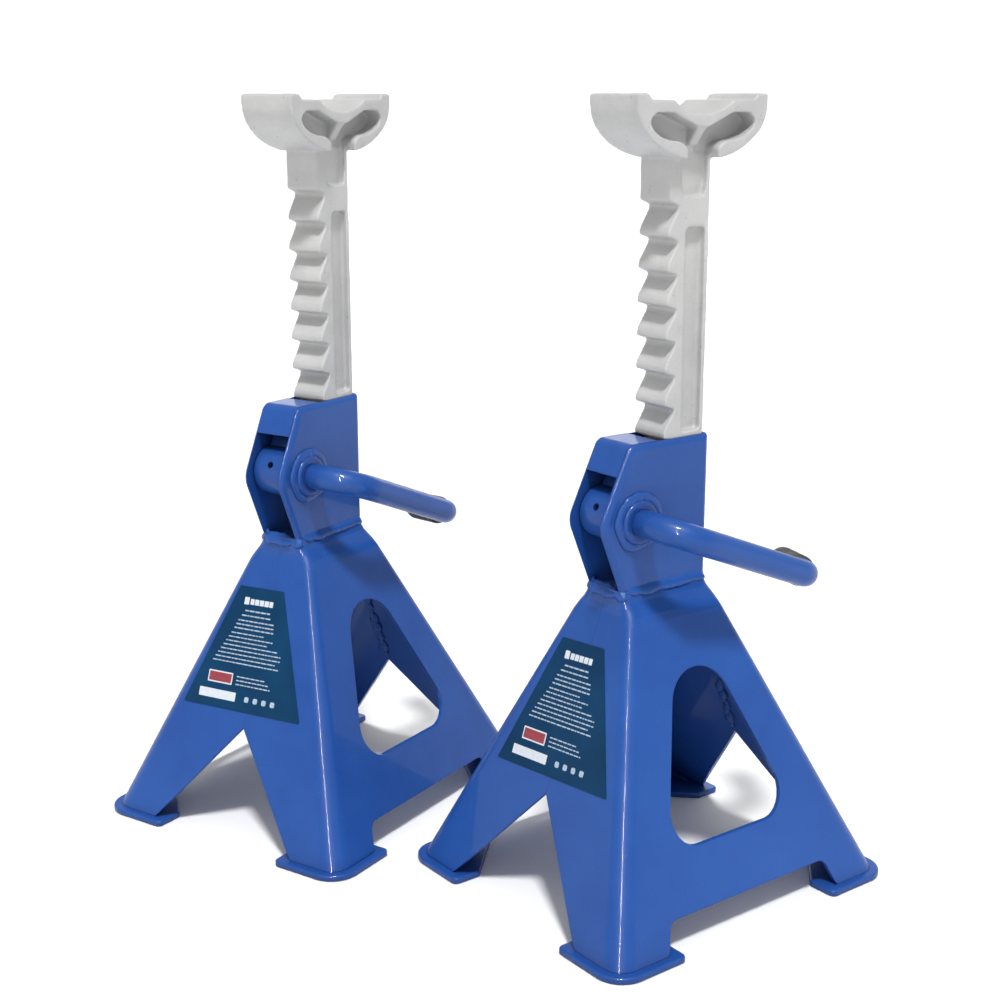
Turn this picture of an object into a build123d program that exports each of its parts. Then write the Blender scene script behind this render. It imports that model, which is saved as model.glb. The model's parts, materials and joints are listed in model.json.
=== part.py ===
"""A pair of two-tonne ratchet axle stands, each with a lifting column and a pawl lever.

Millimetres, +Z up. Each stand is drawn about its own centre on the ground: the window faces of its base look
along Y, the notched faces along X, the teeth of the column face -X and the lever leaves the -Y side.
"""

from build123d import *
import math
import os

# ---- placing of the two stands on the floor ----
STAND_A_PLACE = Location((54.0, -112.9, 0))
STAND_B_PLACE = Location((-35.3, 88.4, 0), (0, 0, 19.9))

# ---- pressed base ----
PAD_TOP = 3.4                 # thickness of a foot pad
LEG_X = 96.5                  # half size over the legs at the pads
LEG_Y = 86.5
FRONT_SLOPE = 0.390           # inward lean of each face per mm of height
BACK_SLOPE = 0.431
SIDE_SLOPE = 0.413
SHEET = 2.6                   # horizontal thickness of the pressed sheet
FOOT_BEND = 11.5              # outer radius of a leg bend at its foot
NECK_BEND = 5.0               # and at the neck
NECK_TOP = 171.0
NECK_FRONT = -35.2
NECK_BACK = 26.2
DISH = ((154.0, 24.2), (158.0, 21.8), (161.5, 19.1), (164.5, 16.8), (167.5, 15.4), (171.0, 15.0))
SEAM_GAP = 0.01               # half of the seam between the two pressings

WINDOW_X = -1.2               # middle of the triangular window
WINDOW_SILL = 46.6
WINDOW_APEX = 167.5           # where the window's sides would meet
WINDOW_HALF = 46.2            # half width at the sill
WINDOW_SILL_RADIUS = 15.0
WINDOW_TOP_RADIUS = 21.5

RAIL_Z = 18.0                 # underside of the rail between two legs
STUB_TOP_X = 56.8             # inner edge of a leg at the rail
STUB_FOOT_X = 63.4            # inner edge of a leg at the ground
STUB_RADIUS = 6.5
NOTCH_APEX = 63.5             # top of the notch in the other two faces
NOTCH_SLOPE = 0.870           # half width of the notch per mm below its apex

# ---- foot pads ----
PAD_OUT = 4.7                 # pad beyond the leg
PAD_SIZE = 47.0
PAD_CHAMFER = 30.0
PAD_OUTER_RADIUS = 16.0
PAD_SIDE_RADIUS = 3.5

# ---- head ----
HEAD_Y = 14.5                 # outside of a side plate
PLATE = 2.5
HEAD_BACK = 25.6
HEAD_TOP = 248.3
HEAD_NOSE_X = -50.2           # where the two sloping front edges would meet
HEAD_NOSE_RADIUS = 14.0
HEAD_FRONT_TOP_X = -30.5
HEAD_FRONT_RADIUS = 6.0
STRAP_FOOT_Z = 231.5
STRAP_BACK_X = -10.5
STRAP = 2.8

# ---- lever and pawl ----
SHAFT_X = -24.5
SHAFT_Z = 207.3
SHAFT_R = 7.25
RUNNING = 0.05                # radial clearance of the shaft in its bores
BUSH_R = 12.0
BUSH_OUT = 3.2                # bush beyond the side plate
SHAFT_END_Y = 20.0            # far end of the shaft
ARM_Y = -46.4                 # plane of the lever's arm
ARM_LENGTH = 103.0
ARM_DROOP = 21.8              # degrees below level
ARM_RADIUS = 20.0
GRIP_TURN = 58.4              # degrees between the arm and the grip
GRIP_LIFT = 3.5               # degrees the grip leg rises out of the arm's plane
GRIP_LENGTH = 46.5
ELBOW_RADIUS = 12.5
GRIP_R = 8.7
GRIP_START = 13.0             # along the grip leg from its corner
GRIP_RIB_COUNT = 8
HUB_R = 13.8
HUB_OFFSET = 5.0              # the hub's thick side is this far off the shaft, towards the roll pin
HUB_Y = 11.6
NOSE_R = 30.0                 # reach of the pawl's tooth, just inside the tips of the column's teeth
NOSE_LIFT = 16.0              # degrees the pawl stands clear of the teeth at rest
PAWL_PIN_R = 2.0
PIN_Y = -0.5
PAWL_PIN_UP = 24.7            # degrees above level, towards the front

# ---- ratchet column ----
COLUMN_Y = 11.5
TIP_X = -5.0
ROOT_X = 1.6
COLUMN_BACK = 22.6
PITCH = 17.4
FIRST_ROOT_Z = 367.5
TOOTH_COUNT = 9
UNDERSIDE_RISE = 2.4          # a tooth's underside rises this much from root to tip
COLUMN_FOOT = 149.0
COLUMN_LUG_Y = 14.2
COLUMN_LUG_TOP = 157.0
RECESS_DEPTH = 4.0
RECESS_FRONT = 6.9
RECESS_BACK = 20.2

# ---- saddle ----
SADDLE_X = 11.0
SADDLE_HALF = 44.6
SADDLE_Y = 18.2
SADDLE_TOP = 422.7
SADDLE_LEDGE = 419.5
SEAT_LOW = 412.6
SADDLE_SHOULDER = 417.0
SADDLE_BOTTOM = 391.2
SADDLE_ELLIPSE = 27.0
SEAT_HALF = 20.5
LEDGE_HALF = 35.0
HORN_HALF = 37.8
POCKET_DEPTH = 11.0

# ---- label, across the front face and up its slope from its foot ----
LABEL_FOOT = 71.5
LABEL_THICK = 0.3
LABEL_CORNERS = ((-44.2, 0), (44.2, 0), (16.4, 73.2), (-16.4, 73.2))
LABEL_ASKEW = {"a": (-0.5, 4.2), "b": (-4.6, 2.4)}    # shift across, turn in degrees

os.makedirs("parts", exist_ok=True)

XZ = Plane((0, 0, 0), x_dir=(1, 0, 0), z_dir=(0, -1, 0))
YZ = Plane((0, 0, 0), x_dir=(0, 1, 0), z_dir=(1, 0, 0))


def across(profile, low_y, high_y):
    """A profile drawn in X and Z, made solid from low_y to high_y."""
    return Pos(0, high_y, 0) * extrude(XZ * profile, amount=high_y - low_y, dir=(0, -1, 0))


def along(profile, low_x, high_x):
    """A profile drawn in Y and Z, made solid from low_x to high_x."""
    return Pos(low_x, 0, 0) * extrude(YZ * profile, amount=high_x - low_x, dir=(1, 0, 0))


def rounded(points, radii):
    """A polygon whose corners are rounded, one radius for each point, 0 for a sharp one."""
    shape = Polygon(*points, align=None)
    for (x, y), radius in zip(points, radii):
        if radius:
            corner = shape.vertices().sort_by_distance(Vector(x, y))[0]
            shape = fillet(corner, radius)
    return shape


# ---------------------------------------------------------------- base

def base_section(z, inset=0.0):
    """The base's rounded rectangle at one height, drawn in by inset."""
    rise = z - PAD_TOP
    front = min(-LEG_X + FRONT_SLOPE * rise, NECK_FRONT)
    back = max(LEG_X - BACK_SLOPE * rise, NECK_BACK)
    half = LEG_Y - SIDE_SLOPE * rise
    for dish_z, dish_half in DISH:
        if z >= dish_z:
            half = dish_half
    radius = FOOT_BEND + (NECK_BEND - FOOT_BEND) * max(rise, 0) / (NECK_TOP - PAD_TOP)
    width = back - front - 2 * inset
    depth = 2 * (half - inset)
    shape = RectangleRounded(width, depth, max(radius - inset, 1.5))
    return Pos((front + back) / 2, 0, z) * shape


def base_shell():
    """The whole hollow pyramid with its neck, before any opening is cut."""
    dish_heights = tuple(z for z, half in DISH)
    outer_heights = (PAD_TOP,) + dish_heights
    inner_heights = (-5.0,) + dish_heights + (NECK_TOP + 1,)
    outer = loft([base_section(z) for z in outer_heights], ruled=True)
    inner = loft([base_section(z, SHEET) for z in inner_heights], ruled=True)
    return outer - inner


def window_cut():
    apex = (WINDOW_X, WINDOW_APEX)
    left = (WINDOW_X - WINDOW_HALF, WINDOW_SILL)
    right = (WINDOW_X + WINDOW_HALF, WINDOW_SILL)
    radii = (WINDOW_SILL_RADIUS, WINDOW_SILL_RADIUS, WINDOW_TOP_RADIUS)
    return across(rounded((left, right, apex), radii), -120, 120)


def rail_cut():
    points = ((-STUB_FOOT_X, 0), (STUB_FOOT_X, 0), (STUB_TOP_X, RAIL_Z), (-STUB_TOP_X, RAIL_Z))
    return across(rounded(points, (0, 0, STUB_RADIUS, STUB_RADIUS)), -120, 120)


def notch_cut():
    half = NOTCH_APEX * NOTCH_SLOPE
    return along(rounded(((-half, 0), (half, 0), (0, NOTCH_APEX)), (0, 0, 0)), -120, 120)


def leg_corner_edges(shape):
    """The short edges through the sheet at the inner corners of the four legs."""
    low = shape.edges().filter_by(lambda e: e.center().Z < PAD_TOP + 0.1 and e.length < SHEET * 1.6)
    return low


def base_half(shell, side):
    """One of the two pressings: side -1 has the near window, side 1 the far one."""
    keep = Pos(0, side * (SEAM_GAP + 100), 90) * Box(260, 200, 220)
    half = shell & keep
    corners = leg_corner_edges(half)
    return fillet(corners, 2.5)


# ---------------------------------------------------------------- foot pads

def foot_pad(side_x, side_y):
    far_x = LEG_X + PAD_OUT
    far_y = LEG_Y + PAD_OUT
    near_x = far_x - PAD_SIZE
    near_y = far_y - PAD_SIZE
    points = (
        (far_x, far_y),
        (far_x, near_y),
        (near_x + PAD_CHAMFER, near_y),
        (near_x, near_y + PAD_CHAMFER),
        (near_x, far_y),
    )
    radii = (PAD_OUTER_RADIUS, PAD_SIDE_RADIUS, 2, 2, PAD_SIDE_RADIUS)
    pad = extrude(rounded(points, radii), amount=PAD_TOP, dir=(0, 0, 1))
    rims = pad.edges().filter_by_position(Axis.Z, -0.01, 0.01)
    pad = fillet(rims, 0.6)
    rims = pad.edges().filter_by_position(Axis.Z, PAD_TOP - 0.01, PAD_TOP + 0.01)
    pad = fillet(rims, 1.1)
    if side_x < 0:
        pad = mirror(pad, Plane.YZ)
    if side_y < 0:
        pad = mirror(pad, Plane.XZ)
    return pad


# ---------------------------------------------------------------- head

def head_outline():
    points = (
        (HEAD_BACK, NECK_TOP),
        (HEAD_BACK, HEAD_TOP),
        (HEAD_FRONT_TOP_X, HEAD_TOP),
        (HEAD_NOSE_X, SHAFT_Z),
        (NECK_FRONT, NECK_TOP),
    )
    return rounded(points, (0, 1.2, HEAD_FRONT_RADIUS, HEAD_NOSE_RADIUS, 0))


def shaft_bore():
    bore = Cylinder(SHAFT_R + RUNNING, 4 * HEAD_Y)
    return Pos(SHAFT_X, 0, SHAFT_Z) * Rot(90, 0, 0) * bore


def head_bracket():
    """The folded channel: two side plates and the wall behind the column."""
    block = across(head_outline(), -HEAD_Y, HEAD_Y)
    back_edges = block.edges().filter_by(Axis.Z).filter_by_position(Axis.X, HEAD_BACK - 0.1, HEAD_BACK + 0.1)
    block = fillet(back_edges, 4.0)
    inner_depth = 2 * (HEAD_Y - PLATE)
    room = Pos(HEAD_BACK - PLATE - 60, 0, 210) * Box(120, inner_depth, 140)
    room_edges = room.edges().filter_by(Axis.Z).filter_by_position(Axis.X, 20, 30)
    return block - fillet(room_edges, 1.5) - shaft_bore()


def head_strap():
    """The bent plate that closes the head in front of the column, between the side plates."""
    span = HEAD_FRONT_TOP_X - HEAD_NOSE_X
    drop = HEAD_TOP - SHAFT_Z
    foot_x = HEAD_FRONT_TOP_X - span * (HEAD_TOP - STRAP_FOOT_Z) / drop
    slant = math.hypot(span, drop) / drop
    outer = (
        (STRAP_BACK_X, HEAD_TOP),
        (HEAD_FRONT_TOP_X, HEAD_TOP),
        (foot_x, STRAP_FOOT_Z),
        (foot_x + STRAP * slant, STRAP_FOOT_Z + STRAP * 0.3),
        (HEAD_FRONT_TOP_X + STRAP * 0.75, HEAD_TOP - STRAP),
        (STRAP_BACK_X, HEAD_TOP - STRAP),
    )
    profile = rounded(outer, (0, HEAD_FRONT_RADIUS, 0.9, 0.9, HEAD_FRONT_RADIUS - STRAP, 0))
    return across(profile, -(HEAD_Y - PLATE), HEAD_Y - PLATE)


def pivot_bush(side):
    """The turned collar round the shaft on the outside of one side plate."""
    bush = Cylinder(BUSH_R, BUSH_OUT)
    face = bush.edges().filter_by_position(Axis.Z, BUSH_OUT / 2 - 0.01, BUSH_OUT / 2 + 0.01)
    bush = fillet(face, 2.2)
    turned = Rot(side * -90, 0, 0) * bush
    return Pos(SHAFT_X, side * (HEAD_Y + BUSH_OUT / 2), SHAFT_Z) * turned - shaft_bore()


# ---------------------------------------------------------------- lever

def arm_direction():
    droop = math.radians(ARM_DROOP)
    return Vector(math.cos(droop), 0, -math.sin(droop))


def grip_direction():
    turn, lift = math.radians(GRIP_TURN), math.radians(GRIP_LIFT)
    level = arm_direction() * math.cos(turn) + Vector(0, math.sin(turn), 0)
    upward = arm_direction().cross(Vector(0, -1, 0))
    return level * math.cos(lift) - upward * math.sin(lift)


def lever_corners():
    """The shaft's far end, the two corners of the bent bar and the end of its grip leg."""
    first = Vector(SHAFT_X, ARM_Y, SHAFT_Z)
    second = first + arm_direction() * ARM_LENGTH
    return (
        Vector(SHAFT_X, SHAFT_END_Y, SHAFT_Z),
        first,
        second,
        second + grip_direction() * GRIP_LENGTH,
    )


def lever_bar():
    """One round bar: the shaft through the head, the arm along its side and the leg inside the grip."""
    path = FilletPolyline(*lever_corners(), radius=[ARM_RADIUS, ELBOW_RADIUS])
    start = Plane(lever_corners()[0], x_dir=(1, 0, 0), z_dir=(0, -1, 0))
    bar = sweep(start * Circle(SHAFT_R), path=path)
    ends = bar.edges().filter_by(GeomType.CIRCLE).sort_by(Axis.Y)
    far = [e for e in ends if abs(e.center().Y - SHAFT_END_Y) < 0.01]
    bar = fillet(far, 1.2)
    return bar - pin_cylinder()


def lever_grip():
    """The ribbed rubber sleeve pushed over the last leg of the bar, closed at its end."""
    length = GRIP_LENGTH - GRIP_START + 3
    pitch = (length - 9) / GRIP_RIB_COUNT
    sleeve = Cylinder(GRIP_R, length, align=(Align.CENTER, Align.CENTER, Align.MIN))
    sleeve = fillet(sleeve.edges().filter_by(GeomType.CIRCLE), 2.2)
    for index in range(GRIP_RIB_COUNT):
        groove = Torus(GRIP_R + 0.5, 1.1)
        sleeve = sleeve - Pos(0, 0, 4.5 + pitch * (index + 0.5)) * groove
    hollow = Cylinder(SHAFT_R, GRIP_LENGTH - GRIP_START, align=(Align.CENTER, Align.CENTER, Align.MIN))
    sleeve = sleeve - hollow
    corner = lever_corners()[2]
    place = Plane(corner + grip_direction() * GRIP_START, z_dir=grip_direction())
    return place.location * sleeve


# ---------------------------------------------------------------- pawl

def pin_line(back):
    """A plane across the roll pin's line, back from the shaft by this much, facing the pin's outer end."""
    up = math.radians(PAWL_PIN_UP)
    out = Vector(-math.cos(up), 0, math.sin(up))
    return Plane(Vector(SHAFT_X, PIN_Y, SHAFT_Z) - out * back, z_dir=out)


def pin_cylinder():
    """The roll pin's outside, a little short of the hub's surface at both ends."""
    length = 2 * HUB_R + HUB_OFFSET - 4.5
    pin = Cylinder(PAWL_PIN_R, length, align=(Align.CENTER, Align.CENTER, Align.MIN))
    return pin_line(HUB_R - 2).location * pin


def reach(radius, degrees):
    """A point seen from the shaft, degrees above the column's side."""
    angle = math.radians(degrees)
    return (SHAFT_X + radius * math.cos(angle), SHAFT_Z + radius * math.sin(angle))


def seated_nose():
    """The pawl's tooth as it lies in a notch: its top is an arc about the shaft, so that it can swing out."""
    top = tuple(reach(NOSE_R, degrees) for degrees in (36.5, 43, 50, 57))
    points = (
        (SHAFT_X - 8, SHAFT_Z + 6),
        (SHAFT_X, SHAFT_Z - 8),
        (SHAFT_X + 12.5, SHAFT_Z - 3),
        reach(18.8, 22.5),
        reach(26.3, 34),
    ) + top + (reach(22, 76),)
    profile = rounded(points, (0, 0, 3, 5, 1, 0.8, 0, 0, 3, 5))
    return across(profile, -HUB_Y + 1.2, HUB_Y - 1.2)


def hub_outline():
    """The hub seen along the shaft: a slot shape, thicker towards the roll pin."""
    up = math.radians(PAWL_PIN_UP)
    x = SHAFT_X - math.cos(up) * HUB_OFFSET / 2
    z = SHAFT_Z + math.sin(up) * HUB_OFFSET / 2
    return Pos(x, z) * Rot(0, 0, -PAWL_PIN_UP) * SlotCenterToCenter(HUB_OFFSET, 2 * HUB_R)


def pawl():
    """The hub pinned to the shaft, with the tooth that holds the column. It rests just clear of the teeth."""
    hub = across(hub_outline(), -HUB_Y, HUB_Y)
    hub = fillet(hub.edges().filter_by_position(Axis.Y, HUB_Y - 0.01, HUB_Y + 0.01), 1.0)
    hub = fillet(hub.edges().filter_by_position(Axis.Y, -HUB_Y - 0.01, -HUB_Y + 0.01), 1.0)
    lifted = Pos(SHAFT_X, 0, SHAFT_Z) * Rot(0, -NOSE_LIFT, 0) * Pos(-SHAFT_X, 0, -SHAFT_Z) * seated_nose()
    shaft = Pos(SHAFT_X, 0, SHAFT_Z) * Rot(90, 0, 0) * Cylinder(SHAFT_R, 60)
    return hub + lifted - shaft - pin_hole()


def pin_hole():
    hole = Cylinder(PAWL_PIN_R, 4 * HUB_R, align=(Align.CENTER, Align.CENTER, Align.MIN))
    return pin_line(2 * HUB_R).location * hole


def pawl_pin():
    """The slotted roll pin."""
    bore = Cylinder(PAWL_PIN_R - 0.8, 6 * HUB_R)
    slot = Pos(PAWL_PIN_R, 0, 0) * Box(2 * PAWL_PIN_R, 0.7, 6 * HUB_R)
    place = pin_line(HUB_R).location
    return pin_cylinder() - place * bore - place * slot


# ---------------------------------------------------------------- ratchet column

def rack_outline():
    """The column seen from its side: a straight back, and teeth down the front."""
    points = [(COLUMN_BACK, COLUMN_FOOT), (COLUMN_BACK, SADDLE_BOTTOM + 2), (TIP_X, SADDLE_BOTTOM + 2)]
    for index in range(TOOTH_COUNT):
        root_z = FIRST_ROOT_Z - index * PITCH
        points.append((TIP_X, root_z + UNDERSIDE_RISE))
        points.append((ROOT_X, root_z))
        points.append((ROOT_X - 0.4, root_z - 2.4))
        points.append((TIP_X + 0.7, root_z - 10.6))
        points.append((TIP_X, root_z - 12.6))
    points.append((TIP_X, COLUMN_FOOT))
    return Polygon(*points, align=None)


def side_recess(low_z, high_z, depth):
    """A shallow pocket in both sides of the column, with rounded corners and a rounded floor."""
    width = RECESS_BACK - RECESS_FRONT
    block = Box(width, 2 * depth, high_z - low_z)
    block = fillet(block.edges().filter_by(Axis.Y), 2.2)
    block = fillet(block.edges().filter_by_position(Axis.Y, -depth - 0.01, -depth + 0.01), 1.8)
    middle_x = (RECESS_FRONT + RECESS_BACK) / 2
    middle_z = (low_z + high_z) / 2
    near = Pos(middle_x, -COLUMN_Y, middle_z) * Rot(0, 0, 180) * block
    far = Pos(middle_x, COLUMN_Y, middle_z) * block
    return near + far


def top_recess():
    """The pocket below the saddle on both sides: it widens upwards and opens into the saddle's ends."""
    points = ((4.8, 371.8), (19.0, 371.8), (20.6, 380), (20.6, 397), (1.0, 397), (2.6, 385))
    outline = rounded(points, (2.2, 2.2, 4, 0, 0, 6))
    near = across(outline, -COLUMN_Y - 1, -COLUMN_Y + RECESS_DEPTH - 0.4)
    return near + mirror(near, Plane.XZ)


def column_lugs():
    """Two small lugs at the foot, which stop the column from lifting out of the neck."""
    height = COLUMN_LUG_TOP - COLUMN_FOOT
    lugs = Pos(9, 0, COLUMN_FOOT + height / 2) * Box(14, 2 * COLUMN_LUG_Y, height)
    return fillet(lugs.edges().filter_by(Axis.X), 1.2)


def saddle_outline():
    """The saddle's end view: two horns, a ledge inside each, a hollow seat and a rounded belly."""
    seat_radius = (SEAT_HALF ** 2 + (SADDLE_LEDGE - SEAT_LOW) ** 2) / (2 * (SADDLE_LEDGE - SEAT_LOW))
    upper = (
        Line((-SADDLE_HALF, SADDLE_SHOULDER), (-SADDLE_HALF, SADDLE_TOP))
        + Line((-SADDLE_HALF, SADDLE_TOP), (-HORN_HALF, SADDLE_TOP))
        + Line((-HORN_HALF, SADDLE_TOP), (-LEDGE_HALF, SADDLE_LEDGE))
        + Line((-LEDGE_HALF, SADDLE_LEDGE), (-SEAT_HALF, SADDLE_LEDGE))
        + RadiusArc((-SEAT_HALF, SADDLE_LEDGE), (SEAT_HALF, SADDLE_LEDGE), -seat_radius)
        + Line((SEAT_HALF, SADDLE_LEDGE), (LEDGE_HALF, SADDLE_LEDGE))
        + Line((LEDGE_HALF, SADDLE_LEDGE), (HORN_HALF, SADDLE_TOP))
        + Line((HORN_HALF, SADDLE_TOP), (SADDLE_HALF, SADDLE_TOP))
        + Line((SADDLE_HALF, SADDLE_TOP), (SADDLE_HALF, SADDLE_SHOULDER))
    )
    belly = EllipticalCenterArc(
        (0, SADDLE_SHOULDER), SADDLE_HALF, SADDLE_ELLIPSE, start_angle=180, arc_size=180
    )
    whole = make_face(upper + belly)
    floor = Pos(0, SADDLE_BOTTOM + 30) * Rectangle(3 * SADDLE_HALF, 60)
    return Pos(SADDLE_X, 0) * (whole & floor)


def pocket_outline():
    """The cored end of the saddle: a wing each side, joined below the seat and open to the column's side."""
    half = (
        (0, 406.4),
        (-3.5, 406.4),
        (-13.8, 410.6),
        (-20.5, 413.5),
        (-31.5, 413.5),
        (-36.6, 409.8),
        (-34.2, 405.4),
        (-29.6, 402.4),
        (-23.0, 400.2),
        (-15.4, 399.4),
        (-10.6, 396.4),
        (-10.6, 386),
    )
    radii = (0, 3, 0, 4, 4, 3, 5, 0, 8, 5, 3, 0)
    mirrored = tuple((-x, z) for x, z in reversed(half[1:]))
    points = half + mirrored
    return Pos(SADDLE_X, 0) * rounded(points, radii + tuple(reversed(radii[1:])))


def saddle_rib(side):
    """The stem under the seat, sloping back from the end face to the column's side."""
    near, deep = side * SADDLE_Y, side * (SADDLE_Y - POCKET_DEPTH - 0.5)
    slope = ((near, 408), (side * (COLUMN_Y - 3.6), 394), (side * (COLUMN_Y - 4.2), 390), (deep, 390), (deep, 408))
    fin = along(Polygon(*slope, align=None), SADDLE_X - 3.2, SADDLE_X + 3.2)
    return fin


def saddle():
    body = across(saddle_outline(), -SADDLE_Y, SADDLE_Y)
    for side in (-1, 1):
        deep = side * (SADDLE_Y - POCKET_DEPTH)
        low, high = sorted((deep, side * (SADDLE_Y + 5)))
        body = body - across(pocket_outline(), low, high)
        body = body + saddle_rib(side)
    return body


def ratchet_column():
    """One casting: rack, back flange, recessed sides and the saddle on top."""
    rack = across(rack_outline(), -COLUMN_Y, COLUMN_Y)
    low_recess = side_recess(163, 243, RECESS_DEPTH)
    long_recess = side_recess(250.5, 356.5, RECESS_DEPTH)
    rack = rack + column_lugs()
    return rack + saddle() - low_recess - long_recess - top_recess()


# ---------------------------------------------------------------- label

def blank_label(letter):
    """A plain plate stuck across the seam of the notched front face, with no marks, a little askew by hand."""
    shift, turn = LABEL_ASKEW[letter]
    outline = Pos(shift, 0) * Rot(0, 0, turn) * Polygon(*LABEL_CORNERS, align=None)
    lean = Vector(FRONT_SLOPE, 0, 1).normalized()
    outward = Vector(-1, 0, FRONT_SLOPE).normalized()
    foot = Vector(-LEG_X + FRONT_SLOPE * (LABEL_FOOT - PAD_TOP), 0, LABEL_FOOT)
    face = Plane(foot, x_dir=lean.cross(outward), z_dir=outward)
    return extrude(face * fillet(outline.vertices(), 0.8), amount=LABEL_THICK)


# ---------------------------------------------------------------- one stand, then both

def stand_pieces():
    shell = base_shell() - window_cut() - rail_cut() - notch_cut()
    pieces = {
        "near_pressing": base_half(shell, -1),
        "far_pressing": base_half(shell, 1),
        "head_bracket": head_bracket(),
        "head_strap": head_strap(),
        "near_pivot_bush": pivot_bush(-1),
        "far_pivot_bush": pivot_bush(1),
        "lever_bar": lever_bar(),
        "lever_grip": lever_grip(),
        "pawl": pawl(),
        "pawl_roll_pin": pawl_pin(),
        "ratchet_column": ratchet_column(),
    }
    pads = {"front_near": (-1, -1), "back_near": (1, -1), "front_far": (-1, 1), "back_far": (1, 1)}
    for name, (side_x, side_y) in pads.items():
        pieces["foot_pad_" + name] = foot_pad(side_x, side_y)
    return pieces


pieces = stand_pieces()
for letter, place in (("a", STAND_A_PLACE), ("b", STAND_B_PLACE)):
    pieces["label_plate"] = blank_label(letter)
    for name, shape in pieces.items():
        export_step(place * shape, "parts/" + name + "_" + letter + ".step")
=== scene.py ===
"""Looks for a pair of ratchet axle stands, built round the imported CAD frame. Metres, +Z up."""

import json
import math
import random

import bmesh
import bpy
from mathutils import Matrix, Vector, noise


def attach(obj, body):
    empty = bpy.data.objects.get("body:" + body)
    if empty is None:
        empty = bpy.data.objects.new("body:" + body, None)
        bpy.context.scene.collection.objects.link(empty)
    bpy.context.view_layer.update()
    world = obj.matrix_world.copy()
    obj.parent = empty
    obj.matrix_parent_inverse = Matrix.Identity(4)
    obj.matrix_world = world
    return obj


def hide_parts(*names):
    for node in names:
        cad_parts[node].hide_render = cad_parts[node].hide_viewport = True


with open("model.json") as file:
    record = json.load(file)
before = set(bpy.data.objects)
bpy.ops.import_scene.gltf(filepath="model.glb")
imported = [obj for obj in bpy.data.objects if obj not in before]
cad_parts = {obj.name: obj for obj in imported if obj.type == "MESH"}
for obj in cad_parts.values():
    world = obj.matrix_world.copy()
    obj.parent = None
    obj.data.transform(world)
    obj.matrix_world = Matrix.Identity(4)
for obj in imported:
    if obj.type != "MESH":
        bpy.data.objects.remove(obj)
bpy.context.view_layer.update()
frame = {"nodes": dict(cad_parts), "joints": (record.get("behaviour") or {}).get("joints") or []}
NODES = frame["nodes"]
MM = 0.001
LETTERS = ("a", "b")

# ---- sizes of one stand in its own frame, in millimetres ----
SHAFT = Vector((-24.5, 0.0, 207.3))
HEAD_Y = 14.5
NECK_TOP = 171.0
NECK_FRONT, NECK_BACK, NECK_Y = -35.2, 26.2, 15.0
PAD_TOP = 3.4
LEG_X, LEG_Y = 96.5, 86.5
FRONT_SLOPE, BACK_SLOPE = 0.390, 0.431  # run over rise of the base's end faces
BUSH_R = 12.0
SHEET = 2.6
SADDLE_FOOT, SADDLE_TOP = 350.0, 422.7

# ---- camera: millimetres in the first stand's own frame, degrees, and lens on a 36 mm sensor ----
CAMERA_AT = Vector((-561.9, -604.6, 420.4))
CAMERA_AZIMUTH, CAMERA_PITCH = -37.17, 14.21
CAMERA_LENS = 57.16


# ---------------------------------------------------------------- placing

def stand_place(letter):
    """The stand's own frame in the row frame, worked out from its lever's hinge."""
    joint = next(j for j in frame["joints"] if j["name"] == "lever_pivot_" + letter)
    axis = Vector(joint["axis"])
    yaw = math.atan2(axis.x, -axis.y)
    turn = Matrix.Rotation(yaw, 4, "Z")
    origin = Vector(joint["pos_m"]) - turn @ (SHAFT * MM)
    return Matrix.Translation(origin) @ turn


PLACE = {letter: stand_place(letter) for letter in LETTERS}


# ---------------------------------------------------------------- mesh helpers

def add_object(name, mesh, material=None):
    obj = bpy.data.objects.new(name, mesh)
    bpy.context.scene.collection.objects.link(obj)
    if material:
        mesh.materials.clear()
        mesh.materials.append(material)
    return obj


def mesh_from(name, verts, faces, smooth=True):
    """A mesh from points in millimetres, in the stand's own frame."""
    mesh = bpy.data.meshes.new(name)
    mesh.from_pydata([Vector(v) * MM for v in verts], [], faces)
    mesh.update()
    if smooth:
        mesh.shade_smooth()
    return mesh


def evaluated_mesh(obj):
    """The object's mesh with its modifiers applied."""
    bpy.context.view_layer.update()
    depsgraph = bpy.context.evaluated_depsgraph_get()
    return bpy.data.meshes.new_from_object(obj.evaluated_get(depsgraph))


def place_pair(base_name, mesh, material, body, replaced=()):
    """One piece for each stand from the same mesh in the stand's own frame."""
    for letter in LETTERS:
        copy = mesh if letter == "a" else mesh.copy()
        obj = add_object(base_name + "_" + letter, copy, material)
        obj.matrix_world = PLACE[letter]
        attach(obj, body + "_" + letter)
        if replaced:
            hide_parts(*[node + "_" + letter for node in replaced])


def local_copy(node):
    """A CAD node of stand a as a clean mesh in the stand's own frame, its doubled points joined."""
    mesh = NODES[node + "_a"].data.copy()
    mesh.transform(PLACE["a"].inverted())
    shape = bmesh.new()
    shape.from_mesh(mesh)
    bmesh.ops.remove_doubles(shape, verts=shape.verts, dist=1e-6)
    shape.to_mesh(mesh)
    shape.free()
    return mesh


def soften(mesh, voxel, rounds):
    """The mesh remade in even cells and smoothed, so that its edges are cast or blunted ones."""
    obj = add_object("soften_work", mesh)
    remesh = obj.modifiers.new("cells", "REMESH")
    remesh.mode = "VOXEL"
    remesh.voxel_size = voxel * MM
    remesh.use_smooth_shade = True
    smooth = obj.modifiers.new("smooth", "SMOOTH")
    smooth.factor = 0.5
    smooth.iterations = rounds
    result = evaluated_mesh(obj)
    bpy.data.objects.remove(obj)
    result.shade_smooth()
    return result


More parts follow.
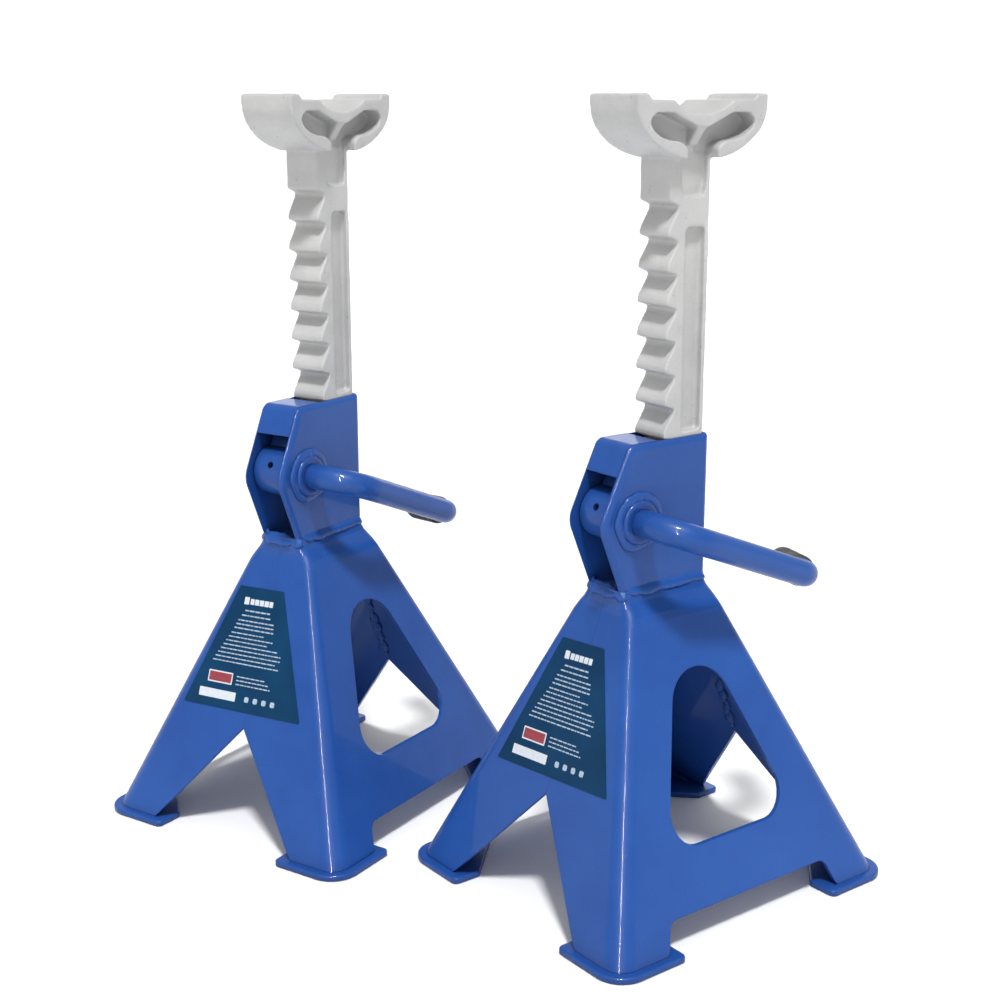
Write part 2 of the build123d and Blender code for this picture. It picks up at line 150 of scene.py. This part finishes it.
def smooth_above(mesh, height, blend, rounds):
    """Smooths the mesh further above a height in mm, growing to full strength over blend mm."""
    obj = add_object("smooth_work", mesh)
    group = obj.vertex_groups.new(name="upper")
    for v in mesh.vertices:
        weight = min(1.0, (v.co.z / MM - height) / blend)
        if weight > 0:
            group.add([v.index], weight, "REPLACE")
    smooth = obj.modifiers.new("smooth", "SMOOTH")
    smooth.factor = 0.5
    smooth.iterations = rounds
    smooth.vertex_group = group.name
    result = evaluated_mesh(obj)
    bpy.data.objects.remove(obj)
    result.shade_smooth()
    return result


def roughen(mesh, layers, top):
    """Moves points along their normals by noise layers of (size, depth) in mm, and none above top."""
    normals = [v.normal.copy() for v in mesh.vertices]
    for v, normal in zip(mesh.vertices, normals):
        at = v.co / MM
        shift = sum(depth * noise.noise(at / size) for size, depth in layers)
        v.co += normal * shift * MM
        v.co.z = min(v.co.z, top * MM)
    mesh.update()


def even_points(path, step, closed):
    """Points along a path at equal steps, its corners rounded off, and the path's length."""
    points = [Vector(p) for p in path]
    if closed:
        points.append(points[0])
    lengths = [0.0]
    for start, end in zip(points, points[1:]):
        lengths.append(lengths[-1] + (end - start).length)
    total = lengths[-1]
    count = max(8, int(total / step))
    evened = []
    for index in range(count if closed else count + 1):
        s = total * index / count
        k = max(i for i in range(len(lengths) - 1) if lengths[i] <= s + 1e-9)
        t = (s - lengths[k]) / max(lengths[k + 1] - lengths[k], 1e-9)
        evened.append(points[k].lerp(points[k + 1], t))
    size = len(evened)
    rounded = []
    for index in range(size):
        near = range(index - 4, index + 5)
        group = [evened[k % size if closed else min(max(k, 0), size - 1)] for k in near]
        rounded.append(sum(group, Vector()) / len(group))
    return rounded, total


def bead_mesh(name, path, width, height, outward, seed, pitch, ripple=0.10, wander=0.25,
              closed=False):
    """A flat weld bead along a path. Its width and height are measured from its middle line, in mm.

    outward is a function of a point that gives the direction out of the surface there.
    """
    pick = random.Random(seed)
    offset = Vector((pick.uniform(0, 99), pick.uniform(0, 99), pick.uniform(0, 99)))
    phase = pick.uniform(0, 6)
    centres, total = even_points(path, 0.4, closed)
    size = len(centres)
    sides = 16
    verts = []
    for index in range(size):
        before = centres[(index - 1) % size] if closed or index else centres[0]
        after = centres[(index + 1) % size] if closed or index < size - 1 else centres[-1]
        along = (after - before).normalized()
        up = outward(centres[index])
        up = (up - along * up.dot(along)).normalized()
        side = along.cross(up)
        s = total * index / (size if closed else size - 1)
        slip = 0.9 * noise.noise(offset + Vector((s * 0.12, 0, 0)))
        wave = abs(math.sin(math.pi * s / pitch + phase + slip))
        swell = 1 + ripple * (wave - 0.6) + wander * noise.noise(offset + Vector((s * 0.14, 3, 1)))
        if not closed:
            swell *= math.sqrt(min(1.0, 0.06 + min(s, total - s) / (width * 1.2)))
        drift = side * width * 0.35 * noise.noise(offset + Vector((s * 0.10, 7, 0)))
        for k in range(sides):
            angle = 2 * math.pi * k / sides
            ring = Vector((s * 0.45, math.cos(angle) * 1.5, math.sin(angle) * 1.5))
            lump = swell * (1 + 0.10 * noise.noise(offset + ring))
            across = side * math.cos(angle) * width * lump
            rise = up * math.sin(angle) * height * lump
            verts.append(centres[index] + drift + across + rise)
    faces = []
    for index in range(size if closed else size - 1):
        for k in range(sides):
            a = index * sides + k
            b = index * sides + (k + 1) % sides
            c = ((index + 1) % size) * sides + (k + 1) % sides
            d = ((index + 1) % size) * sides + k
            faces.append((a, b, c, d))
    if not closed:
        faces.append(tuple(reversed(range(sides))))
        last = (size - 1) * sides
        faces.append(tuple(last + k for k in range(sides)))
    mesh = mesh_from(name, verts, faces)
    shape = bmesh.new()
    shape.from_mesh(mesh)
    bmesh.ops.recalc_face_normals(shape, faces=shape.faces)
    shape.to_mesh(mesh)
    shape.free()
    return mesh


def join_meshes(name, meshes):
    """Several meshes as one."""
    shape = bmesh.new()
    for mesh in meshes:
        shape.from_mesh(mesh)
    joined = bpy.data.meshes.new(name)
    shape.to_mesh(joined)
    shape.free()
    joined.shade_smooth()
    return joined


# ---------------------------------------------------------------- materials

def srgb(r, g, b):
    def linear(c):
        c /= 255
        return c / 12.92 if c <= 0.04045 else ((c + 0.055) / 1.055) ** 2.4
    return (linear(r), linear(g), linear(b), 1.0)


class Nodes:
    """A short way to write a node tree."""

    def __init__(self, name):
        self.material = bpy.data.materials.new(name)
        self.material.use_nodes = True
        self.tree = self.material.node_tree
        self.tree.nodes.clear()
        self.out = self.add("ShaderNodeOutputMaterial")
        self.shader = self.add("ShaderNodeBsdfPrincipled")
        self.link(self.shader.outputs["BSDF"], self.out.inputs["Surface"])
        self.coords = self.add("ShaderNodeTexCoord").outputs["Object"]

    def add(self, kind, **values):
        node = self.tree.nodes.new(kind)
        for key, value in values.items():
            setattr(node, key, value)
        return node

    def link(self, a, b):
        self.tree.links.new(a, b)

    def noise(self, scale, detail=3.0, rough=0.55):
        node = self.add("ShaderNodeTexNoise")
        node.inputs["Scale"].default_value = scale
        node.inputs["Detail"].default_value = detail
        node.inputs["Roughness"].default_value = rough
        self.link(self.coords, node.inputs["Vector"])
        return node.outputs["Fac"]

    def ramp(self, value, *stops, constant=False):
        node = self.add("ShaderNodeValToRGB")
        ramp = node.color_ramp
        while len(ramp.elements) < len(stops):
            ramp.elements.new(0.5)
        for element, (at, colour) in zip(ramp.elements, stops):
            element.position = at
            element.color = colour if len(colour) == 4 else (*colour, 1.0)
        if constant:
            ramp.interpolation = "CONSTANT"
        self.link(value, node.inputs["Fac"])
        return node.outputs["Color"]

    def map(self, value, low_in, high_in, low_out, high_out):
        node = self.add("ShaderNodeMapRange")
        node.inputs["From Min"].default_value = low_in
        node.inputs["From Max"].default_value = high_in
        node.inputs["To Min"].default_value = low_out
        node.inputs["To Max"].default_value = high_out
        self.link(value, node.inputs["Value"])
        return node.outputs["Result"]

    def mix(self, fac, a, b):
        node = self.add("ShaderNodeMix", data_type="RGBA")
        for socket, value in ((node.inputs[0], fac), (node.inputs[6], a), (node.inputs[7], b)):
            if isinstance(value, (int, float, tuple)):
                socket.default_value = value
            else:
                self.link(value, socket)
        return node.outputs[2]

    def math(self, operation, a, b):
        node = self.add("ShaderNodeMath", operation=operation)
        for socket, value in zip(node.inputs, (a, b)):
            if isinstance(value, (int, float)):
                socket.default_value = value
            else:
                self.link(value, socket)
        return node.outputs[0]

    def bump(self, height, strength, distance, before=None):
        node = self.add("ShaderNodeBump")
        node.inputs["Strength"].default_value = strength
        node.inputs["Distance"].default_value = distance
        self.link(height, node.inputs["Height"])
        if before is not None:
            self.link(before, node.inputs["Normal"])
        return node.outputs["Normal"]

    def rounded_edges(self, radius):
        node = self.add("ShaderNodeBevel")
        node.samples = 6
        node.inputs["Radius"].default_value = radius
        return node.outputs["Normal"]

    # Ambient occlusion, used to paint shade into the colour of corners and recesses.
    def corner_shade(self, distance):
        node = self.add("ShaderNodeAmbientOcclusion")
        node.samples = 6
        node.inputs["Distance"].default_value = distance
        return node.outputs["AO"]


def blue_paint():
    """Thick blue powder coat: orange peel, slow shifts of tone, painted shade in corners, a few dust nibs.
    """
    n = Nodes("blue_powder_coat")
    tone = n.noise(14.0, 4.0, 0.6)
    base = n.ramp(tone, (0.30, srgb(27, 70, 143)), (0.70, srgb(33, 80, 155)))
    cloud = n.noise(60.0, 5.0, 0.65)
    base = n.mix(n.map(cloud, 0.35, 0.75, 0.0, 0.14), base, srgb(40, 90, 172))
    # Painted shade: ambient occlusion darkens the colour towards navy in corners and recesses.
    painted_shade = n.map(n.corner_shade(0.020), 0.10, 0.90, 0.85, 0.0)
    base = n.mix(painted_shade, base, srgb(9, 24, 70))
    specks = n.noise(900.0, 2.0, 0.5)
    base = n.mix(n.map(specks, 0.70, 0.76, 0.0, 0.30), base, srgb(80, 118, 190))
    n.link(base, n.shader.inputs["Base Color"])
    rough = n.map(n.noise(120.0, 3.0), 0.3, 0.7, 0.34, 0.44)
    n.link(rough, n.shader.inputs["Roughness"])
    n.shader.inputs["Coat Weight"].default_value = 0.30
    n.shader.inputs["Coat Roughness"].default_value = 0.045
    n.shader.inputs["Coat IOR"].default_value = 1.5
    n.shader.inputs["Specular IOR Level"].default_value = 0.15
    edges = n.rounded_edges(0.0008)
    peel = n.bump(n.noise(520.0, 2.0, 0.45), 0.20, 0.00025, edges)
    waves = n.bump(n.noise(55.0, 2.0, 0.5), 0.28, 0.0007, peel)
    nibs = n.bump(n.map(specks, 0.68, 0.80, 0.0, 1.0), 0.35, 0.0002, waves)
    n.link(nibs, n.shader.inputs["Normal"])
    return n.material


def grey_casting():
    """Light grey paint over a sand casting: grainy skin, stains, small dark pits, painted shade in
    corners.
    """
    n = Nodes("grey_painted_casting")
    tone = n.noise(25.0, 5.0, 0.6)
    base = n.ramp(tone, (0.3, srgb(178, 178, 178)), (0.7, srgb(193, 193, 192)))
    stains = n.map(n.noise(75.0, 6.0, 0.7), 0.60, 0.78, 0.0, 0.35)
    base = n.mix(stains, base, srgb(152, 149, 144))
    pits = n.map(n.noise(420.0, 3.0, 0.6), 0.68, 0.73, 0.0, 0.60)
    base = n.mix(pits, base, srgb(88, 76, 62))
    flecks = n.map(n.noise(1100.0, 2.0, 0.5), 0.70, 0.76, 0.0, 0.55)
    base = n.mix(flecks, base, srgb(112, 104, 94))
    # Painted shade: ambient occlusion darkens the colour towards mid grey in corners and recesses.
    painted_shade = n.map(n.corner_shade(0.012), 0.10, 0.90, 0.42, 0.0)
    base = n.mix(painted_shade, base, srgb(104, 104, 104))
    n.link(base, n.shader.inputs["Base Color"])
    rough = n.map(n.noise(160.0, 3.0), 0.3, 0.7, 0.40, 0.54)
    n.link(rough, n.shader.inputs["Roughness"])
    n.shader.inputs["Specular IOR Level"].default_value = 0.4
    grain = n.bump(n.noise(620.0, 3.0, 0.6), 0.35, 0.0003)
    skin = n.bump(n.noise(150.0, 3.0, 0.5), 0.35, 0.0006, grain)
    n.link(skin, n.shader.inputs["Normal"])
    return n.material


def black_rubber():
    n = Nodes("black_grip_rubber")
    base = n.ramp(n.noise(90.0, 4.0), (0.3, srgb(34, 33, 33)), (0.75, srgb(62, 60, 58)))
    dust = n.map(n.noise(380.0, 4.0, 0.65), 0.55, 0.75, 0.0, 0.35)
    base = n.mix(dust, base, srgb(98, 95, 90))
    n.link(base, n.shader.inputs["Base Color"])
    rough = n.map(n.noise(200.0, 3.0), 0.3, 0.7, 0.55, 0.75)
    n.link(rough, n.shader.inputs["Roughness"])
    grain = n.bump(n.noise(900.0, 2.0, 0.6), 0.4, 0.0002)
    n.link(grain, n.shader.inputs["Normal"])
    return n.material


def label_film():
    """Satin printed film: a dark blue field with a faint shift of tone."""
    n = Nodes("dark_label_film")
    tone = n.noise(30.0, 2.0)
    base = n.ramp(tone, (0.3, srgb(2, 48, 82)), (0.7, srgb(4, 58, 94)))
    fleck = n.map(n.noise(1500.0, 2.0), 0.55, 0.75, 0.0, 0.12)
    base = n.mix(fleck, base, srgb(40, 92, 126))
    n.link(base, n.shader.inputs["Base Color"])
    rough = n.map(n.noise(240.0, 2.0), 0.3, 0.7, 0.36, 0.46)
    n.link(rough, n.shader.inputs["Roughness"])
    n.shader.inputs["Specular IOR Level"].default_value = 0.12
    film = n.bump(n.noise(70.0, 2.0), 0.25, 0.0003)
    n.link(film, n.shader.inputs["Normal"])
    return n.material


def label_ink(name, light, dark):
    """Printed ink with a faint screen-print mottle."""
    n = Nodes(name)
    base = n.ramp(n.noise(700.0, 3.0), (0.3, dark), (0.6, light))
    n.link(base, n.shader.inputs["Base Color"])
    rough = n.map(n.noise(240.0, 2.0), 0.3, 0.7, 0.36, 0.46)
    n.link(rough, n.shader.inputs["Roughness"])
    n.link(n.bump(n.noise(1400.0, 2.0), 0.2, 0.0001), n.shader.inputs["Normal"])
    return n.material


def dark_pin():
    n = Nodes("oiled_spring_steel")
    base = n.ramp(n.noise(300.0, 4.0), (0.3, srgb(22, 22, 26)), (0.75, srgb(66, 62, 60)))
    n.link(base, n.shader.inputs["Base Color"])
    n.shader.inputs["Metallic"].default_value = 0.8
    n.link(n.map(n.noise(500.0, 2.0), 0.3, 0.7, 0.35, 0.6), n.shader.inputs["Roughness"])
    n.link(n.bump(n.noise(1200.0, 2.0), 0.3, 0.0001), n.shader.inputs["Normal"])
    return n.material


def pale_floor():
    n = Nodes("pale_studio_floor")
    base = n.ramp(n.noise(3.0, 3.0), (0.3, (0.91, 0.91, 0.91)), (0.7, (0.94, 0.94, 0.94)))
    n.link(base, n.shader.inputs["Base Color"])
    n.shader.inputs["Roughness"].default_value = 0.7
    return n.material


BLUE = blue_paint()
GREY = grey_casting()
RUBBER = black_rubber()
FILM = label_film()
WHITE_INK = label_ink("white_label_ink", srgb(208, 214, 222), srgb(196, 204, 213))
ROW_INK = label_ink("pale_label_ink", srgb(172, 188, 204), srgb(140, 162, 186))
RED_INK = label_ink("red_label_ink", srgb(150, 52, 62), srgb(128, 44, 56))
PIN = dark_pin()


# ---------------------------------------------------------------- carried-over nodes

def repaint(names, material):
    for name in names:
        for letter in LETTERS:
            node = NODES[name + "_" + letter]
            node.data.materials.clear()
            node.data.materials.append(material)


FEET = ((-1, -1, "front_near"), (1, -1, "back_near"), (-1, 1, "front_far"), (1, 1, "back_far"))

repaint(("near_pressing", "far_pressing", "head_bracket", "head_strap", "near_pivot_bush"), BLUE)
repaint(("far_pivot_bush", "lever_bar", "pawl"), BLUE)
repaint(["foot_pad_" + word for side_x, side_y, word in FEET], BLUE)
repaint(("lever_grip",), RUBBER)
repaint(("label_plate",), FILM)
repaint(("pawl_roll_pin",), PIN)


# ---------------------------------------------------------------- column

def cast_column():
    mesh = soften(local_copy("ratchet_column"), voxel=0.7, rounds=2)
    mesh = smooth_above(mesh, SADDLE_FOOT, blend=6.0, rounds=9)
    dents, lumps, grain = (11.0, 0.22), (4.0, 0.09), (1.8, 0.03)
    roughen(mesh, (dents, lumps, grain), SADDLE_TOP)
    place_pair("cast_column", mesh, GREY, "column", ("ratchet_column",))


cast_column()


# ---------------------------------------------------------------- weld beads

def out_of_column(point):
    """Away from the column's axis and a little upward, out of the corner of head and base."""
    x = point.x + 4.0
    end = math.copysign(1, x)
    if abs(point.y) > NECK_Y - 1.5:
        turned = 0.15 * end if abs(x) > 26 else 0
        return Vector((turned, math.copysign(1, point.y), 0.5)).normalized()
    return Vector((end, 0, 0.45)).normalized()


def neck_weld():
    """The bead that joins head and base, thicker at its two front corners."""
    z = NECK_TOP
    y = NECK_Y - 0.4
    near_side = [(NECK_FRONT + 4, -y, z - 0.4), (-18, -y, z - 0.2), (0, -y, z), (NECK_BACK - 4, -y, z)]
    back = [(NECK_BACK - 0.6, -10, z), (NECK_BACK - 0.6, 0, z), (NECK_BACK - 0.6, 10, z)]
    far_side = [(NECK_BACK - 4, y, z), (0, y, z), (-18, y, z), (NECK_FRONT + 4, y, z)]
    sides = near_side + back + far_side
    long_bead = bead_mesh("neck_round", sides, 3.4, 1.0, out_of_column, 11, pitch=6.5)
    near_corner = [(-34.4, -8.0, z - 1.8), (-33.2, -13.2, z - 2.0), (-28.0, -y, z - 1.4)]
    near_blob = bead_mesh("near_blob", near_corner, 3.9, 1.7, out_of_column, 12, pitch=7.0, wander=0.3)
    far_corner = [(-34.4, 8.0, z - 1.2), (-33.2, 13.2, z - 1.4), (-28.0, y, z - 1.0)]
    far_blob = bead_mesh("far_blob", far_corner, 3.4, 1.2, out_of_column, 13, pitch=7.0, wander=0.3)
    front_path = [(-34.8, -11.0, z - 2.0), (-34.6, 0, z - 1.8), (-34.8, 11.0, z - 1.8)]
    front = bead_mesh("neck_front", front_path, 3.4, 1.0, out_of_column, 14, pitch=5.0, wander=0.4)
    mesh = join_meshes("neck_weld", [long_bead, near_blob, far_blob, front])
    place_pair("neck_weld", mesh, BLUE, "stand")


def bush_weld(side, name, seed):
    """The flat ring of weld between a bush and its side plate."""
    points, radius, y = 48, BUSH_R + 0.9, side * (HEAD_Y + 0.1)
    path = []
    for k in range(points):
        angle = 2 * math.pi * k / points
        path.append((SHAFT.x + radius * math.cos(angle), y, SHAFT.z + radius * math.sin(angle)))
    outward = Vector((0, side, 0))
    mesh = bead_mesh(name, path, 3.3, 1.8, lambda point: outward, seed, pitch=6.0, wander=0.3, closed=True)
    place_pair(name, mesh, BLUE, "stand")


def inner_seam_weld(side, name, seed):
    """The rough bead inside the base along the seam of the two pressings, down to the notch."""
    slope = FRONT_SLOPE if side < 0 else BACK_SLOPE
    inward = Vector((-side, 0, -slope)).normalized()
    top, foot, steps = 160, 67, 25
    path = []
    for k in range(steps + 1):
        z = top - k * (top - foot) / steps
        x = side * (LEG_X - slope * (z - PAD_TOP) - SHEET)
        path.append((x, 1.1 * (-1) ** k, z))
    mesh = bead_mesh(name, path, 2.6, 1.9, lambda point: inward, seed, pitch=4.6, ripple=0.2, wander=0.5)
    place_pair(name, mesh, BLUE, "stand")


def pad_weld(side_x, side_y, name, seed):
    """The bead inside one leg's foot, on top of its pad."""
    x, y = LEG_X - SHEET - 1.2, LEG_Y - SHEET - 1.2
    corner = ((x, y - 21), (x, y - 11), (x - 2.6, y - 2.6), (x - 11, y), (x - 20, y))
    path = [(side_x * px, side_y * py, PAD_TOP) for px, py in corner]
    inward = Vector((-side_x, -side_y, 1.4)).normalized()
    mesh = bead_mesh(name, path, 2.4, 1.6, lambda point: inward, seed, pitch=2.8)
    place_pair(name, mesh, BLUE, "stand")


neck_weld()
bush_weld(-1, "near_bush_weld", 21)
bush_weld(1, "far_bush_weld", 22)
inner_seam_weld(-1, "front_inner_weld", 33)
inner_seam_weld(1, "back_inner_weld", 34)
for number, (side_x, side_y, word) in enumerate(FEET):
    pad_weld(side_x, side_y, "pad_weld_" + word, 41 + number)


# ---------------------------------------------------------------- label print

LABEL_FOOT = 71.5
LABEL_ASKEW = {"a": (-0.5, 4.2), "b": (-4.6, 2.4)}
LABEL_TOP = 0.30
INK = 0.03


def label_point(letter, u, v, lift):
    """A point on a stand's label in mm: u across, v up from the middle of its foot, lift off the face."""
    shift, degrees = LABEL_ASKEW[letter]
    turn = math.radians(degrees)
    across = shift + u * math.cos(turn) - v * math.sin(turn)
    up = u * math.sin(turn) + v * math.cos(turn)
    lean = Vector((FRONT_SLOPE, 0, 1)).normalized()
    outward = Vector((-1, 0, FRONT_SLOPE)).normalized()
    foot = Vector((-LEG_X + FRONT_SLOPE * (LABEL_FOOT - PAD_TOP), 0, LABEL_FOOT))
    return foot + Vector((0, -across, 0)) + lean * up + outward * lift


def rounded_block(left, right, foot, top, radius=0.3):
    """The outline of one printed block, its corners rounded."""
    radius = min(radius, (top - foot) * 0.3)
    ring = []
    for x, y, first in ((right - radius, top - radius, 0), (left + radius, top - radius, 90),
                        (left + radius, foot + radius, 180), (right - radius, foot + radius, 270)):
        for k in range(4):
            angle = math.radians(first + 30 * k)
            ring.append((x + radius * math.cos(angle), y + radius * math.sin(angle)))
    return ring


def print_shapes(name, outlines, material, low):
    """Thin printed shapes on both labels, each outline a ring of points on the label."""
    for letter in LETTERS:
        verts, faces = [], []
        for ring in outlines:
            start, count = len(verts), len(ring)
            for height in (low, low + INK):
                verts.extend(label_point(letter, u, v, height) for u, v in ring)
            faces.append(tuple(start + count + k for k in range(count)))
            faces.append(tuple(start + k for k in reversed(range(count))))
            for k in range(count):
                j = (k + 1) % count
                faces.append((start + k, start + j, start + count + j, start + count + k))
        mesh = mesh_from(name, verts, faces, smooth=False)
        obj = add_object(name + "_" + letter, mesh, material)
        obj.matrix_world = PLACE[letter]
        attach(obj, "stand_" + letter)


def row_of_marks(pick, left, right, foot, height, low_run, high_run, gap):
    """Short plain dashes from left to right, standing for one row of print."""
    marks = []
    at = left
    while at < right - 1.0:
        end = min(at + pick.uniform(low_run, high_run), right)
        marks.append(rounded_block(at, end, foot, foot + height))
        at = end + gap
    return marks


def label_print():
    """Plain dashes and blocks where the real label is printed: no wording."""
    pick = random.Random(5)
    title = [rounded_block(-11.2, -7.6, 62.6, 67.0)]
    at = -6.6
    for width in (2.9, 3.1, 3.2, 3.2, 2.7):
        title.append(rounded_block(at, at + width, 62.9, 66.3))
        at += width + 0.5
    rows = []
    for index in range(2):
        half = 9.5 + index * 2
        rows += row_of_marks(pick, -half, half, 58.6 - index * 2.9, 0.9 - 0.1 * index, 1.4, 4.2, 0.5)
    for index in range(3):
        rows += row_of_marks(pick, -13.5 - index, 13.5 + index, 52.6 - index * 2.4, 0.8, 1.4, 4.6, 0.5)
    for index in range(8):
        half = 17.0 + index * 1.5
        right = half - pick.uniform(0, 9)
        rows += row_of_marks(pick, -half, right, 44.8 - index * 2.5, 0.72, 1.2, 4.4, 0.5)
    print_shapes("label_title", title, WHITE_INK, LABEL_TOP)
    print_shapes("label_rows", rows, ROW_INK, LABEL_TOP)
    print_shapes("label_badge_edge", [rounded_block(-28.6, -10.0, 14.4, 21.4)], WHITE_INK, LABEL_TOP)
    print_shapes("label_badge", [rounded_block(-27.8, -10.8, 15.2, 20.6)], RED_INK, LABEL_TOP + INK)
    print_shapes("label_box", [rounded_block(-33.5, -5.5, 5.2, 10.4)], WHITE_INK, LABEL_TOP)
    side_rows = []
    for index in range(3):
        side_rows += row_of_marks(pick, -7.0, 15.0 + index * 2, 19.6 - index * 2.3, 0.7, 1.2, 4.0, 0.5)
    spots = [rounded_block(1.5 + 6.5 * k, 4.7 + 6.5 * k, 6.0, 9.2, radius=1.2) for k in range(4)]
    print_shapes("label_spots", spots + side_rows, ROW_INK, LABEL_TOP)


label_print()


# ---------------------------------------------------------------- stage, light and camera

def floor():
    mesh = bpy.data.meshes.new("studio_floor")
    half = 14.0
    corners = [(-half, -half, 0), (half, -half, 0), (half, half, 0), (-half, half, 0)]
    mesh.from_pydata(corners, [], [(0, 1, 2, 3)])
    obj = add_object("studio_floor", mesh, pale_floor())
    obj.location.z = -0.0002


def world_light(overhead, horizon):
    """An even studio, brighter round the horizon so that the floor runs into the background."""
    world = bpy.data.worlds.new("studio_world")
    world.use_nodes = True
    tree = world.node_tree
    back = tree.nodes["Background"]
    direction = tree.nodes.new("ShaderNodeTexCoord").outputs["Generated"]
    parts = tree.nodes.new("ShaderNodeSeparateXYZ")
    tree.links.new(direction, parts.inputs["Vector"])
    ramp = tree.nodes.new("ShaderNodeValToRGB")
    stops = ramp.color_ramp.elements
    stops[0].position, stops[0].color = 0.08, (horizon, horizon, horizon, 1.0)
    stops[1].position, stops[1].color = 0.20, (overhead, overhead, overhead, 1.0)
    tree.links.new(parts.outputs["Z"], ramp.inputs["Fac"])
    tree.links.new(ramp.outputs["Color"], back.inputs["Color"])
    back.inputs["Strength"].default_value = 1.0
    bpy.context.scene.world = world


def sun_light(azimuth, elevation, power, angle):
    """One broad light from above and in front of the pair."""
    light = bpy.data.lights.new("sun", "SUN")
    light.energy = power
    light.angle = math.radians(angle)
    obj = bpy.data.objects.new("sun", light)
    bpy.context.scene.collection.objects.link(obj)
    turn, rise = math.radians(azimuth), math.radians(elevation)
    source = Vector((math.cos(turn) * math.cos(rise), math.sin(turn) * math.cos(rise), math.sin(rise)))
    obj.rotation_euler = (-source).to_track_quat("-Z", "Y").to_euler()


def glint_box(name, position, target, size, power):
    """A panel light that shows only in gloss, because diffuse shading leaves it out."""
    light = bpy.data.lights.new(name, "AREA")
    light.shape = "RECTANGLE"
    light.size, light.size_y = size
    light.energy = power
    obj = bpy.data.objects.new(name, light)
    bpy.context.scene.collection.objects.link(obj)
    obj.location = position
    obj.visible_diffuse = False
    obj.rotation_euler = (Vector(target) - Vector(position)).to_track_quat("-Z", "Y").to_euler()


def camera():
    azimuth, pitch = math.radians(CAMERA_AZIMUTH), math.radians(CAMERA_PITCH)
    data = bpy.data.cameras.new("camera")
    data.sensor_width = 36.0
    data.lens = CAMERA_LENS
    data.clip_start = 0.05
    obj = bpy.data.objects.new("camera", data)
    bpy.context.scene.collection.objects.link(obj)
    obj.location = PLACE["a"] @ (CAMERA_AT * MM)
    level = math.cos(pitch)
    forward = Vector((-math.sin(azimuth) * level, math.cos(azimuth) * level, -math.sin(pitch)))
    obj.rotation_euler = forward.to_track_quat("-Z", "Y").to_euler()
    bpy.context.scene.camera = obj


floor()
world_light(overhead=0.52, horizon=1.06)
sun_light(azimuth=-120, elevation=66, power=2.75, angle=8)
glint_box("corner_strip", (-1.45, -1.45, 1.35), (0, 0, 0.2), (0.05, 1.3), power=34)
glint_box("top_box", (-0.5, -0.9, 2.2), (0, 0, 0.2), (0.10, 0.4), power=30)
glint_box("back_panel", (1.5, 1.5, 0.75), (0, 0, 0.3), (1.6, 0.5), power=4)
camera()
bpy.context.scene.view_settings.view_transform = "Standard"
